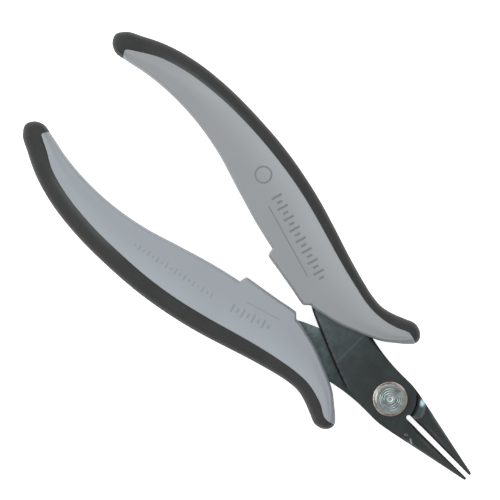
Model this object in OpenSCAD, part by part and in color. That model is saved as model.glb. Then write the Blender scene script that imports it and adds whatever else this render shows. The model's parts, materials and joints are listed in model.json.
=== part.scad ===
// Round nose pliers for jewellery work, lying flat on one broad face.
//
// Two identical forged halves lap over each other and turn on a rivet. The rear half is the
// front half rolled over about the tool's long axis, grip and all. Every module below draws
// its piece in the pivot's own frame: the pivot is the Z axis, the tips point along +X, and
// Z = 0 is the plane where the two halves lap. in_row_frame() then lifts the finished tool
// so that it rests on Z = 0 with its outline centred on the origin.
//
// Millimetres throughout.

/* [Halves] */
// Thickness of each half where the two lap over each other
plate_t = 3.0; // [2.6:0.1:3.4]
// Space between the two lapped faces
lap_gap = 0.04; // [0.02:0.01:0.08]
// Radius of the round end of each lap
boss_r = 6.85; // [6.7:0.05:7.0]
// Radius of the step that the other half's round end turns inside
shoulder_r = 7.1; // [7.05:0.05:7.3]
// Radius where the slope above that step meets the jaw's flat
slope_r = 9.9; // [9:0.1:10.5]
// How far that slope falls below the jaw's flat
slope_fall = 1.2; // [0.8:0.1:1.6]
// How far each shank thins between its crease and its grip
shank_fall = 0.35; // [0.1:0.05:0.6]
// Diameter of the holes that key the moulded grip to the tang
key_hole_d = 3.0; // [2.4:0.2:3.4]

/* [Jaws] */
// Distance from the pivot to the tips
tip_x = 28.8; // [26:0.2:32]
// Radius of each jaw at its rounded tip
tip_r = 0.4; // [0.35:0.05:0.6]
// Radius of each jaw where its fine taper starts
taper_r = 2.15; // [2.0:0.05:2.3]
// Distance from the pivot to the start of the fine taper
taper_x = 11; // [10:0.5:12]
// Half the space between the tips with the tool at rest
tip_half_gap = 0.5; // [0.45:0.05:0.55]
// Half the space between the jaws where their fine taper starts
root_half_gap = 0.61; // [0.55:0.01:0.65]
// Distance from the pivot to the round root of that space
gap_root_x = 6.2; // [6.1:0.1:6.6]

/* [Pivot] */
// Diameter of the rivet's shank
rivet_d = 5.0; // [4.4:0.1:5.4]
// Running clearance round the shank in the front half
rivet_clearance = 0.04; // [0.02:0.01:0.08]
// Diameter of both rivet heads
head_d = 7.9; // [7.0:0.1:8.2]
// Height of the front head
front_head_h = 1.2; // [0.9:0.1:1.4]
// Height of the rear head
rear_head_h = 1.0; // [0.8:0.1:1.4]
// Outer diameter of the bearing washers
washer_d = 9.0; // [8.6:0.1:9.6]
// Thickness of the bearing washers
washer_t = 0.4; // [0.3:0.05:0.5]

/* [Grips] */
// Thickness of each grip across its two flat faces
grip_t = 10.6; // [10.2:0.2:12]
// How far the rounded edge reaches in from the outline along the spine
edge_in = 1.8; // [1.4:0.1:1.8]
// How far it reaches in along the palm side
palm_edge_in = 0.8; // [0.6:0.1:1.4]
// How far the rounded edge reaches down from the flat face
edge_down = 3.8; // [2.4:0.2:4.4]
// Thickness of the soft strap over the spine
strap_skin = 1.9; // [1.4:0.1:2.1]
// Height of the land on the inner edge of each grip
land_rise = 2.0; // [1.2:0.1:2.1]

/* [Hidden] */

// Colours of the four materials.
oxide_steel = [0.23, 0.25, 0.26];
zinc_steel = [0.70, 0.74, 0.74];
bronze = [0.76, 0.58, 0.46];
grey_plastic = [0.62, 0.64, 0.66];
black_rubber = [0.24, 0.25, 0.24];

round_fn = 96;
slope_steps = 8;
rim_steps = 3;
// How far a hole's tool reaches past its plate, and a larger cut past its piece.
eps = 0.01;
past = 1;

// Grip outline. All four curves run from the toe, near the free end, to the guard's tip, and
// the knots with the same number lie across from each other. The outer edge goes round the
// free end and along the spine. The inner edge lies along the palm side without its land.
toe = [-111.6, 13.5];
guard_tip = [-5.5, 14.9];
toe_inward = [-0.5, 0.866];
guard_inward = [-0.954, 0.3];
outer_knots = [
    toe, [-114.2, 13.25], [-116.4, 14.4], [-117.4, 16.6], [-116, 18.9], [-112, 21.2],
    [-106.5, 23.85], [-99, 26.1], [-88, 27.5], [-76, 27.5], [-64, 26.5], [-55, 24.9],
    [-50.5, 23.85], [-47, 22.9], [-41, 21.05], [-35, 19.1], [-30, 17.6], [-26.5, 16.65],
    [-22, 15.65], [-18.5, 15.4], [-15, 16.2], [-12, 17.4], [-9, 18.45], [-6.7, 17.75],
    [-5.5, 16.25], guard_tip
];
inner_knots = [
    toe, [-111.4, 13.55], [-111.1, 13.6], [-110.6, 13.7], [-109.8, 13.85], [-108.4, 14.15],
    [-105, 14.85], [-98, 15.6], [-87.5, 15.4], [-77, 13.65], [-66.5, 10.5], [-56.5, 7.6],
    [-49.7, 6.05], [-48.2, 5.75], [-43.5, 4.85], [-38, 3.75], [-33.4, 2.75], [-31.2, 2.55],
    [-27, 3.3], [-22.5, 4.5], [-18.5, 6.1], [-15.5, 7.35], [-12, 9.15], [-9, 11.45],
    [-6.9, 13.2], guard_tip
];
// Edge of the strap on the grip's front face, and on its back face.
face_toe = toe + toe_inward * edge_in;
face_guard_tip = guard_tip + guard_inward * edge_in;
front_seam_knots = [
    face_toe, [-112.55, 15.5], [-112.35, 15.8], [-112, 16.1], [-111.3, 16.6],
    [-109.9, 17.5], [-105, 20.35], [-98.3, 22.5], [-87.8, 24.05], [-76.3, 24.25],
    [-64.7, 23.35], [-55.8, 21.95], [-51.3, 20.95], [-47.8, 20.05], [-41.8, 18.35],
    [-35.7, 16.55], [-30.6, 15.2], [-26.8, 14.3], [-22.2, 13.35], [-18.3, 13.1],
    [-14.3, 13.6], [-11.1, 14.65], [-9.4, 15.45], [-8.5, 15.68], [-7.95, 15.6],
    face_guard_tip
];
back_seam_knots = [
    face_toe, [-112.4, 15.45], [-112.1, 15.65], [-111.6, 15.9], [-110.8, 16.35],
    [-109.2, 17.1], [-104.4, 19.75], [-98.1, 21.6], [-87.6, 22.85], [-76.5, 22.8],
    [-65, 21.95], [-56.2, 20.45], [-51.7, 19.4], [-48.2, 18.5], [-42.2, 16.8],
    [-36.1, 15.1], [-31, 13.85], [-27.1, 13.05], [-22.3, 12.3], [-18.2, 12.15],
    [-14.1, 12.95], [-11.2, 14.05], [-9.6, 15.05], [-8.7, 15.42], [-8.05, 15.5],
    face_guard_tip
];
knot_steps = 3;
// How many knots from each end the strap's skin takes to reach its full thickness.
skin_knots = 3;

// The land: where it starts and ends along the inner edge, and the length of its two ends.
land_from = -49.2;
land_to = -31.6;
land_start_run = 1.2;
land_end_run = 1.6;
land_end_share = 0.7;

// Outline of one lapped half: its upper edge from the tang's end to the round lap, and its
// lower edge from the root of the jaw back to the tang's end.
upper_edge_knots = [
    [-95, 22.2], [-80, 22.6], [-60, 19.4], [-40, 14.3], [-28, 11.4], [-20, 9.5],
    [-14, 7.9], [-8, 6.9], [-4, 6.62], [0, 6.6], [2.3, 6.45]
];
lower_edge_knots = [
    [4.5, -6.25], [2.5, -6.55], [-2, -6.62], [-7, -6.5], [-10, -6], [-15, -4.5],
    [-20, -2.5], [-26, 0], [-31, 2.3], [-35, 5], [-40, 7.6], [-50, 10.7], [-60, 13.2],
    [-80, 17], [-95, 17.7]
];
jaw_outer_foot = lower_edge_knots[0];
boss_from = 68;
boss_to = 6;
boss_steps = 16;
plate_steps = 4;
jaw_stub_x = 7.2;
key_holes = [[-52, 14.2], [-84, 20]];
crease_x = -16.5;
shank_end_x = -31;
tang_reach_x = -100;
side_reach = 40;

// Turned shape of the jaw: wide at its root, so that only the flats of the blank show there.
jaw_root_x = 4;
jaw_root_r = 5.4;
flat_relief = 0.04;

// Reach of each head's eased rim, in from the rim and down from the face. Then the turned
// rings as shares of the head's radius, of which the rear head has only the last, and the
// shallow dish inside them.
rim_in = 0.75;
rim_down = 0.26;
ring_shares = [0.44, 0.58, 0.72];
ring_w = 0.22;
ring_depth = 0.07;
dish_r = 1.25;
dish_depth = 0.1;

shank_r = rivet_d / 2;
head_r = head_d / 2;
grip_half = grip_t / 2;
free_end_x = min([for (knot = outer_knots) knot.x]);
pivot_x = -(free_end_x + tip_x) / 2;
washer_clearance = 0.03;
front_washer_z = plate_t + washer_clearance;
rear_washer_z = -plate_t - washer_t;

// Points across the space between the jaws and along the jaw's outer side. slant is how much
// wider a jaw is straight across the tool than square to its own axis.
slant = 1.006;
tip_centre_x = tip_x - tip_r;
tip_centre_y = -(tip_half_gap + tip_r);
taper_inner_y = -root_half_gap;
taper_mid_y = taper_inner_y - taper_r * slant;
jaw_angle = atan2(tip_centre_y - taper_mid_y, tip_centre_x - taper_x);
jaw_len = norm([tip_centre_x - taper_x, tip_centre_y - taper_mid_y]);

// Rings of the grip, from the back face up to the front face: height, distance in from the
// outline, and how far the seam has moved from the middle of the skin to the face.
edge_steps = 3;
function edge_level(angle, side) = [
    side * (grip_half - edge_down + edge_down * sin(angle)),
    edge_in * (1 - cos(angle)),
    side * sin(angle)
];
levels = concat(
    [for (i = [edge_steps:-1:0]) edge_level(90 * i / edge_steps, -1)],
    [for (i = [0:edge_steps]) edge_level(90 * i / edge_steps, 1)]
);

// ---- Curves ----

// Slope at b of the parabola through a, b and c.
function slope(a, b, c) =
    let (u = norm(b - a), v = norm(c - b))
    ((b - a) * v / u + (c - b) * u / v) / (u + v);

function hermite(p, m, q, n, t) =
    p * (2 * t ^ 3 - 3 * t ^ 2 + 1) + m * (t ^ 3 - 2 * t ^ 2 + t)
    + q * (3 * t ^ 2 - 2 * t ^ 3) + n * (t ^ 3 - t ^ 2);

// Smooth curve through knots. before and after are the neighbours beyond its two ends.
function curve(knots, before, after, steps) =
    let (last = len(knots) - 1)
    [
        for (i = [0:last - 1])
            let (
                a = i == 0 ? before : knots[i - 1],
                b = knots[i],
                c = knots[i + 1],
                d = i == last - 1 ? after : knots[i + 2],
                span = norm(c - b),
                start = slope(a, b, c) * span,
                finish = slope(b, c, d) * span
            )
            for (s = [0:steps - 1])
                hermite(b, start, c, finish, s / steps),
        knots[last]
    ];

// The same for a curve that simply stops at both ends.
function open_curve(knots, steps) =
    let (last = len(knots) - 1)
    curve(knots, 2 * knots[0] - knots[1], 2 * knots[last] - knots[last - 1], steps);

// Unit vectors into the grip. side is 1 where the grip lies to the right of the curve.
function square_to(points, side) =
    let (last = len(points) - 1)
    [
        for (i = [0:last])
            i == 0 ? toe_inward
            : i == last ? guard_inward
            : let (run = points[i + 1] - points[i - 1])
                side * [run.y, -run.x] / norm(run)
    ];

// Unit vectors, each turned towards its two neighbours so that tight bends stay open.
function eased(vectors) =
    let (last = len(vectors) - 1)
    [
        for (i = [0:last])
            let (sum = i == 0 || i == last
                ? vectors[i]
                : vectors[i - 1] + vectors[i] + vectors[i + 1])
            sum / norm(sum)
    ];

function inward(points, side) = eased(eased(eased(square_to(points, side))));

function blend_in(x) =
    let (t = max(0, min(1, x)))
    t * t * (3 - 2 * t);

// Height of the land at x: it starts sharply, rounds over and ends in a softer slope.
function land_height(x) =
    land_rise
    * (1 - (1 - max(0, min(1, (x - land_from) / land_start_run))) ^ 2)
    * blend_in((land_to - x) / land_end_run)
    * (1 - (1 - land_end_share) * max(0, (x - land_from) / (land_to - land_from)));

// ---- Grip ----

grip_last = (len(outer_knots) - 1) * knot_steps;
knot_last = len(outer_knots) - 1;
outer_line = curve(outer_knots, inner_knots[1], inner_knots[knot_last - 1], knot_steps);
inner_base = curve(inner_knots, outer_knots[1], outer_knots[knot_last - 1], knot_steps);
front_seam = open_curve(front_seam_knots, knot_steps);
back_seam = open_curve(back_seam_knots, knot_steps);
outer_in = inward(outer_line, 1);
inner_in = inward(inner_base, -1);
inner_line = [
    for (i = [0:grip_last]) inner_base[i] - inner_in[i] * land_height(inner_base[i].x)
];

// The three curves of the grip at one level.
function outer_at(level) = [for (i = [0:grip_last]) outer_line[i] + outer_in[i] * level[1]];
function inner_at(level) = [
    for (i = [0:grip_last]) inner_line[i] + inner_in[i] * level[1] * palm_share(i)
];

// Share of its full thickness that the skin has at point i: it thins to nothing at both ends.
function skin_share(i) =
    blend_in(i / (skin_knots * knot_steps))
    * blend_in((grip_last - i) / (skin_knots * knot_steps));

// Share of the rounded edge's reach that the palm side has at point i.
function palm_share(i) = 1 - (1 - palm_edge_in / edge_in) * skin_share(i);

function seam_at(level) =
    let (
        turn = abs(level[2]),
        face_seam = level[2] < 0 ? back_seam : front_seam
    )
    [
        for (i = [0:grip_last])
            let (
                at_middle = outer_in[i] * strap_skin * skin_share(i),
                at_face = face_seam[i] - outer_line[i] - outer_in[i] * edge_in,
                edge = outer_line[i] + outer_in[i] * level[1]
            )
            i == 0 || i == grip_last
                ? edge
                : edge + at_middle * (1 - turn) + at_face * turn
    ];

// Closed solid between two rows of curves that share their end points. Each row holds one
// curve a level, and all curves have the same number of points.
module loft_between(left_rows, right_rows, heights) {
    last = len(left_rows[0]) - 1;
    ring = 2 * last;
    points = [
        for (j = [0:len(heights) - 1]) each concat(
            [for (i = [0:last]) [left_rows[j][i].x, left_rows[j][i].y, heights[j]]],
            [for (i = [1:last - 1]) [right_rows[j][i].x, right_rows[j][i].y, heights[j]]]
        )
    ];
    loop = concat([for (i = [0:last]) i], [for (i = [last - 1:-1:1]) last + i]);
    top = ring * (len(heights) - 1);
    function right(i) = i == 0 ? 0 : i == last ? last : last + i;
    function cap(i) =
        i == 0 ? [[0, 1, right(1)]]
        : i == last - 1 ? [[i, last, right(i)]]
        : [[i, i + 1, right(i)], [i + 1, right(i + 1), right(i)]];
    sides = [
        for (j = [0:len(heights) - 2], i = [0:ring - 1])
            let (
                low = j * ring + loop[i],
                low_next = j * ring + loop[(i + 1) % ring]
            )
            each [
                [low, low_next, low_next + ring],
                [low, low_next + ring, low + ring]
            ]
    ];
    bottom_cap = [for (i = [0:last - 1]) each [for (f = cap(i)) [f[2], f[1], f[0]]]];
    top_cap = [for (i = [0:last - 1]) each [for (f = cap(i)) [f[0] + top, f[1] + top, f[2] + top]]];
    polyhedron(points, concat(sides, bottom_cap, top_cap), convexity = 10);
}

module grip_strap() {
    color(black_rubber)
        loft_between(
            [for (level = levels) outer_at(level)],
            [for (level = levels) seam_at(level)],
            [for (level = levels) level[0]]
        );
}

// The grip's body, moulded round the tang and through its key holes.
module grip_body() {
    color(grey_plastic)
        difference() {
            loft_between(
                [for (level = levels) seam_at(level)],
                [for (level = levels) inner_at(level)],
                [for (level = levels) level[0]]
            );
            lapped_plate(shank_r);
        }
}

// ---- Lapped halves ----

function arc(radius, from, to, count) = [
    for (i = [0:count])
        let (angle = from + (to - from) * i / count)
        radius * [cos(angle), sin(angle)]
];

// Where the outer side of the jaw lies at x, on the line that the taper's outer side makes.
taper_outer_y = taper_mid_y - taper_r * slant;
function jaw_outer_y(x) =
    jaw_outer_foot.y
    + (taper_outer_y - jaw_outer_foot.y) * (x - jaw_outer_foot.x) / (taper_x - jaw_outer_foot.x);

// Round root of the space between the jaws.
gap_root = [
    for (p = arc(root_half_gap, 90, 270, 8)) [gap_root_x + root_half_gap + p.x, p.y]
];

module plate_plan() {
    polygon(concat(
        open_curve(upper_edge_knots, plate_steps),
        arc(boss_r, boss_from, boss_to, boss_steps),
        gap_root,
        [
            [jaw_stub_x, taper_inner_y],
            [jaw_stub_x, jaw_outer_y(jaw_stub_x)]
        ],
        open_curve(lower_edge_knots, plate_steps)
    ));
}

// Side view of the plate: flat at the lap, falling slightly from the crease to the grip.
module plate_side() {
    polygon([
        [tang_reach_x, lap_gap / 2],
        [jaw_stub_x + past, lap_gap / 2],
        [jaw_stub_x + past, plate_t],
        [crease_x, plate_t],
        [shank_end_x, plate_t - shank_fall],
        [tang_reach_x, plate_t - shank_fall]
    ]);
}

module lapped_plate(bore_r) {
    difference() {
        intersection() {
            linear_extrude(plate_t)
                plate_plan();
            rotate([90, 0, 0])
                translate([0, 0, -side_reach])
                    linear_extrude(2 * side_reach)
                        plate_side();
        }
        translate([0, 0, -eps])
            cylinder(h = plate_t + 2 * eps, r = bore_r, $fn = round_fn);
        for (hole = key_holes)
            translate([hole.x, hole.y, -eps])
                cylinder(h = plate_t + 2 * eps, d = key_hole_d, $fn = round_fn);
    }
}

// The whole round jaw about its own axis, from its broad root to its rounded tip.
module jaw_turning() {
    root = (jaw_root_x - taper_x) / cos(jaw_angle);
    tip_point = jaw_len + tip_r;
    rotate_extrude($fn = round_fn)
        polygon(concat(
            [[0, root], [jaw_root_r, root], [taper_r, 0]],
            [for (a = [0:15:75]) [tip_r * cos(a), jaw_len + tip_r * sin(a)]],
            [[0, tip_point]]
        ));
}

// The flats of the blank, which cut the jaw's broad root to the plate's own thickness.
module jaw_flats() {
    translate([0, 0, -plate_t])
        linear_extrude(2 * plate_t)
            polygon([
                [jaw_root_x, jaw_outer_y(jaw_root_x)],
                [taper_x, taper_outer_y - flat_relief],
                [taper_x + past, taper_outer_y - past],
                [tip_x + past, taper_outer_y - past],
                [tip_x + past, past],
                [taper_x + past, past],
                [taper_x, taper_inner_y + flat_relief],
                [gap_root_x + root_half_gap, taper_inner_y],
                [jaw_root_x, taper_inner_y]
            ]);
}

// Room below the lap for the other half's round end to turn in: a step, then a slope that
// eases from the step into the jaw's flat.
module shoulder_room() {
    rotate_extrude($fn = round_fn)
        polygon(concat(
            [[0, lap_gap / 2], [0, -plate_t - past], [slope_r, -plate_t - past]],
            [
                for (i = [slope_steps:-1:0])
                    [
                        shoulder_r + (slope_r - shoulder_r) * i / slope_steps,
                        -plate_t + slope_fall * (1 + cos(180 * i / slope_steps)) / 2
                    ]
            ],
            [[shoulder_r, lap_gap / 2]]
        ));
}

module jaw() {
    difference() {
        intersection() {
            translate([taper_x, taper_mid_y, 0])
                rotate([0, 0, jaw_angle])
                    rotate([0, 90, 0])
                        jaw_turning();
            jaw_flats();
        }
        shoulder_room();
    }
}

module lapped_half(bore_r) {
    color(oxide_steel)
        union() {
            lapped_plate(bore_r);
            jaw();
        }
}

// ---- Pivot ----

// Half outline of a head, from the foot of its rim at height z to its centre.
function head_outline(z, height, side, rings) = concat(
    [[head_r, z]],
    [
        for (i = [0:rim_steps])
            let (angle = 90 * i / rim_steps)
            [
                head_r - rim_in * (1 - cos(angle)),
                z + side * (height - rim_down * (1 - sin(angle)))
            ]
    ],
    [
        for (i = [len(rings) - 1:-1:0]) each [
            [rings[i] + ring_w, z + side * height],
            [rings[i], z + side * (height - ring_depth)],
            [rings[i] - ring_w, z + side * height]
        ]
    ],
    [
        [dish_r, z + side * height],
        [0, z + side * (height - dish_depth)]
    ]
);

module rivet() {
    front_z = front_washer_z + washer_t;
    rear_z = rear_washer_z;
    rings = head_r * ring_shares;
    front = head_outline(front_z, front_head_h, 1, rings);
    rear = head_outline(rear_z, rear_head_h, -1, [rings[len(rings) - 1]]);
    color(zinc_steel)
        rotate_extrude($fn = round_fn)
            polygon(concat(
                [for (i = [len(rear) - 1:-1:0]) rear[i]],
                [[shank_r, rear_z], [shank_r, front_z]],
                front
            ));
}

module washer(z) {
    color(bronze)
        translate([0, 0, z])
            difference() {
                cylinder(h = washer_t, d = washer_d, $fn = round_fn);
                translate([0, 0, -eps])
                    cylinder(h = washer_t + 2 * eps, r = shank_r, $fn = round_fn);
            }
}

// ---- Placing ----

module in_row_frame() {
    translate([pivot_x, 0, grip_half])
        children();
}

// The rear arm is the front arm rolled over about the tool's long axis.
module rolled_over() {
    rotate([180, 0, 0])
        children();
}

module front_half() {
    in_row_frame()
        lapped_half(shank_r + rivet_clearance);
}

module rear_half() {
    in_row_frame()
        rolled_over()
            lapped_half(shank_r);
}

module pivot_rivet() {
    in_row_frame()
        rivet();
}

module front_bearing_washer() {
    in_row_frame()
        washer(front_washer_z);
}

module rear_bearing_washer() {
    in_row_frame()
        washer(rear_washer_z);
}

module front_grip_body() {
    in_row_frame()
        grip_body();
}

module front_grip_strap() {
    in_row_frame()
        grip_strap();
}

module rear_grip_body() {
    in_row_frame()
        rolled_over()
            grip_body();
}

module rear_grip_strap() {
    in_row_frame()
        rolled_over()
            grip_strap();
}

front_half();
rear_half();
pivot_rivet();
front_bearing_washer();
rear_bearing_washer();
front_grip_body();
front_grip_strap();
rear_grip_body();
rear_grip_strap();
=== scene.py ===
"""Looks of the round nose pliers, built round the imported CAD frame. Runs inside Blender 4.5.

Shapes are worked out in millimetres in the pivot's own frame: the rivet is the Z axis, the tips
point along +X and Z = 0 is the plane where the two halves lap. to_row() puts a finished mesh in
the row frame, in metres. The rear arm is the front arm rolled over about the tool's long axis.
"""

import json
import math

import bmesh
import bpy
import numpy as np
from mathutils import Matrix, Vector


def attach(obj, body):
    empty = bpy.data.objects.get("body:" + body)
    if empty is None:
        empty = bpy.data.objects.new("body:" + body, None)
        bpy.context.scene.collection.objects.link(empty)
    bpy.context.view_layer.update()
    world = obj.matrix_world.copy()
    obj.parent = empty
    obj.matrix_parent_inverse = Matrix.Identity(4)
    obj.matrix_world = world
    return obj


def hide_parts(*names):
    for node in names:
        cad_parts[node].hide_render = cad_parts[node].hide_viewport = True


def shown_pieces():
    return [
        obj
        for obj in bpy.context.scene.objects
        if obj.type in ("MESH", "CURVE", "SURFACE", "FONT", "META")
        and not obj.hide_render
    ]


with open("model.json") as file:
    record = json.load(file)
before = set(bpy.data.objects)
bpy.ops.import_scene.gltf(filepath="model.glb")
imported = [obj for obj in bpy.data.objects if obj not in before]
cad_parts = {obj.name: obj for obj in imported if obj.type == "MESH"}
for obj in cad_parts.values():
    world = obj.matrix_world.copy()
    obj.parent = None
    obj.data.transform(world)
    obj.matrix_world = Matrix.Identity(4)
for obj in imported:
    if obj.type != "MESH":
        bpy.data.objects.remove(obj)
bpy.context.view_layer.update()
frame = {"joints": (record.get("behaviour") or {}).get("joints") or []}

MM = 0.001
PIVOT = np.array(frame["joints"][0]["pos_m"])

# ---- Camera: straight above, long lens, the tool turned a half right angle in the frame ----

# Width of the view at the tool, in metres.
FRAMED = 0.130
CAMERA_HEIGHT = 1.6
AIM = (-0.00875, 0.00163, 0.0053)

camera_data = bpy.data.cameras.new("camera")
camera_data.sensor_width = 36
camera_data.lens = camera_data.sensor_width * CAMERA_HEIGHT / FRAMED
camera_data.clip_start = 0.1
camera_data.clip_end = 10
camera = bpy.data.objects.new("camera", camera_data)
camera.location = (AIM[0], AIM[1], AIM[2] + CAMERA_HEIGHT)
camera.rotation_euler = (0, 0, math.radians(45))
bpy.context.scene.collection.objects.link(camera)
bpy.context.scene.camera = camera

# ---- Dimensions, as in the CAD source ----

# The halves: SHOULDER_R is the step that the other half's round end turns inside, and the slope
# above it meets the jaw's flat at SLOPE_R. Each shank thins between its crease and its end.
PLATE_T = 3.0
LAP_GAP = 0.04
BOSS_R = 6.85
SHOULDER_R = 7.1
SLOPE_R = 9.9
SLOPE_FALL = 1.2
SHANK_FALL = 0.35
KEY_HOLE_R = 1.5
KEY_HOLES = [(-52, 14.2), (-84, 20)]
CREASE_X = -16.5
SHANK_END_X = -31

# The jaws: each is round, wide at its root inside the lap, with a fine taper from TAPER_X to the
# tip. The flats on its sides end FLAT_RELIEF clear of the taper. Straight across the tool, a jaw
# is SLANT times as wide as square to its own axis.
TIP_X = 28.8
TIP_R = 0.4
TAPER_R = 2.15
TAPER_X = 11
TIP_HALF_GAP = 0.5
ROOT_HALF_GAP = 0.61
GAP_ROOT_X = 6.2
JAW_ROOT_X = 4
JAW_ROOT_R = 5.4
JAW_OUTER_FOOT = (4.5, -6.25)
JAW_STUB_X = 7.2
FLAT_RELIEF = 0.04
SLANT = 1.006

# The pivot.
SHANK_R = 2.5
RIVET_CLEARANCE = 0.04
HEAD_R = 3.95
FRONT_HEAD_H = 1.2
REAR_HEAD_H = 1.0
WASHER_R = 4.5
WASHER_T = 0.4
WASHER_CLEARANCE = 0.03

# The grips: how far the rounded edge reaches in, on the palm side too, and down, the strap's
# thickness, and the land on the inner edge.
GRIP_HALF = 5.3
EDGE_IN = 1.8
PALM_EDGE_IN = 0.8
EDGE_DOWN = 3.8
STRAP_SKIN = 1.9
LAND_RISE = 2.0
LAND_FROM = -49.2
LAND_TO = -31.6
LAND_START_RUN = 1.2
LAND_END_RUN = 1.6
LAND_END_SHARE = 0.7

# Grip curves from the toe to the guard's tip. Knots with the same number lie across from each
# other: the outline's two sides, and the seam between strap and body on the front and back face.
TOE = (-111.6, 13.5)
GUARD_TIP = (-5.5, 14.9)
TOE_INWARD = np.array((-0.5, 0.866))
GUARD_INWARD = np.array((-0.954, 0.3))
OUTER_KNOTS = [
    TOE, (-114.2, 13.25), (-116.4, 14.4), (-117.4, 16.6), (-116, 18.9), (-112, 21.2),
    (-106.5, 23.85), (-99, 26.1), (-88, 27.5), (-76, 27.5), (-64, 26.5), (-55, 24.9),
    (-50.5, 23.85), (-47, 22.9), (-41, 21.05), (-35, 19.1), (-30, 17.6), (-26.5, 16.65),
    (-22, 15.65), (-18.5, 15.4), (-15, 16.2), (-12, 17.4), (-9, 18.45), (-6.7, 17.75),
    (-5.5, 16.25), GUARD_TIP,
]
INNER_KNOTS = [
    TOE, (-111.4, 13.55), (-111.1, 13.6), (-110.6, 13.7), (-109.8, 13.85), (-108.4, 14.15),
    (-105, 14.85), (-98, 15.6), (-87.5, 15.4), (-77, 13.65), (-66.5, 10.5), (-56.5, 7.6),
    (-49.7, 6.05), (-48.2, 5.75), (-43.5, 4.85), (-38, 3.75), (-33.4, 2.75), (-31.2, 2.55),
    (-27, 3.3), (-22.5, 4.5), (-18.5, 6.1), (-15.5, 7.35), (-12, 9.15), (-9, 11.45),
    (-6.9, 13.2), GUARD_TIP,
]
FACE_TOE = tuple(np.array(TOE) + TOE_INWARD * EDGE_IN)
FACE_GUARD_TIP = tuple(np.array(GUARD_TIP) + GUARD_INWARD * EDGE_IN)
FRONT_SEAM_KNOTS = [
    FACE_TOE, (-112.55, 15.5), (-112.35, 15.8), (-112, 16.1), (-111.3, 16.6),
    (-109.9, 17.5), (-105, 20.35), (-98.3, 22.5), (-87.8, 24.05), (-76.3, 24.25),
    (-64.7, 23.35), (-55.8, 21.95), (-51.3, 20.95), (-47.8, 20.05), (-41.8, 18.35),
    (-35.7, 16.55), (-30.6, 15.2), (-26.8, 14.3), (-22.2, 13.35), (-18.3, 13.1),
    (-14.3, 13.6), (-11.1, 14.65), (-9.4, 15.45), (-8.5, 15.68), (-7.95, 15.6),
    FACE_GUARD_TIP,
]
BACK_SEAM_KNOTS = [
    FACE_TOE, (-112.4, 15.45), (-112.1, 15.65), (-111.6, 15.9), (-110.8, 16.35),
    (-109.2, 17.1), (-104.4, 19.75), (-98.1, 21.6), (-87.6, 22.85), (-76.5, 22.8),
    (-65, 21.95), (-56.2, 20.45), (-51.7, 19.4), (-48.2, 18.5), (-42.2, 16.8),
    (-36.1, 15.1), (-31, 13.85), (-27.1, 13.05), (-22.3, 12.3), (-18.2, 12.15),
    (-14.1, 12.95), (-11.2, 14.05), (-9.6, 15.05), (-8.7, 15.42), (-8.05, 15.5),
    FACE_GUARD_TIP,
]
# Edges of the plate from the tang to the lap, and back from the jaw's foot.
UPPER_EDGE_KNOTS = [
    (-95, 22.2), (-80, 22.6), (-60, 19.4), (-40, 14.3), (-28, 11.4), (-20, 9.5),
    (-14, 7.9), (-8, 6.9), (-4, 6.62), (0, 6.6), (2.3, 6.45),
]
LOWER_EDGE_KNOTS = [
    JAW_OUTER_FOOT, (2.5, -6.55), (-2, -6.62), (-7, -6.5), (-10, -6), (-15, -4.5),
    (-20, -2.5), (-26, 0), (-31, 2.3), (-35, 5), (-40, 7.6), (-50, 10.7), (-60, 13.2),
    (-80, 17), (-95, 17.7),
]

# ---- Curves ----


def tangent(a, b, c):
    """Direction of a smooth curve at b, on its way from a to c."""
    u, v = np.linalg.norm(b - a), np.linalg.norm(c - b)
    return ((b - a) * v / u + (c - b) * u / v) / (u + v)


def smooth_line(knots, before, after, steps):
    """Smooth curve through knots; before and after are the neighbours beyond its two ends."""
    k = [np.array(p, float) for p in (before, *knots, after)]
    out = []
    for a, b, c, d in zip(k, k[1:], k[2:], k[3:]):
        span = np.linalg.norm(c - b)
        m, n = tangent(a, b, c) * span, tangent(b, c, d) * span
        for t in np.arange(steps) / steps:
            out.append(
                b * (2 * t**3 - 3 * t**2 + 1) + m * (t**3 - 2 * t**2 + t)
                + c * (3 * t**2 - 2 * t**3) + n * (t**3 - t**2)
            )
    out.append(k[-2])
    return np.array(out)


def open_line(knots, steps):
    """Smooth curve through knots that runs out straight at both ends."""
    first, second = np.array(knots[0], float), np.array(knots[1], float)
    last, but_one = np.array(knots[-1], float), np.array(knots[-2], float)
    return smooth_line(knots, 2 * first - second, 2 * last - but_one, steps)


def arc(radius, start, end, count):
    a = np.radians(np.linspace(start, end, count + 1))
    return radius * np.column_stack((np.cos(a), np.sin(a)))


def smoothstep(x):
    t = np.clip(x, 0, 1)
    return t * t * (3 - 2 * t)


# ---- Meshes ----


def to_row(points, rolled):
    """Millimetres in the pivot frame to metres in the row frame."""
    p = np.array(points, float)
    if rolled:
        p = p * (1, -1, -1)
    return p * MM + PIVOT


def new_mesh(name, points, faces, palm=None):
    """Closed mesh with merged corners. palm, if given, is stored at each point."""
    mesh = bpy.data.meshes.new(name)
    mesh.from_pydata([tuple(p) for p in points], [], [list(f) for f in faces])
    if palm is not None:
        mesh.attributes.new("palm", "FLOAT", "POINT").data.foreach_set("value", palm)
    bm = bmesh.new()
    bm.from_mesh(mesh)
    bmesh.ops.remove_doubles(bm, verts=bm.verts, dist=1e-4)
    bmesh.ops.dissolve_degenerate(bm, edges=bm.edges, dist=1e-5)
    bmesh.ops.recalc_face_normals(bm, faces=bm.faces)
    bm.to_mesh(mesh)
    bm.free()
    return mesh


def new_object(name, mesh):
    obj = bpy.data.objects.new(name, mesh)
    bpy.context.scene.collection.objects.link(obj)
    return obj


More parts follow.
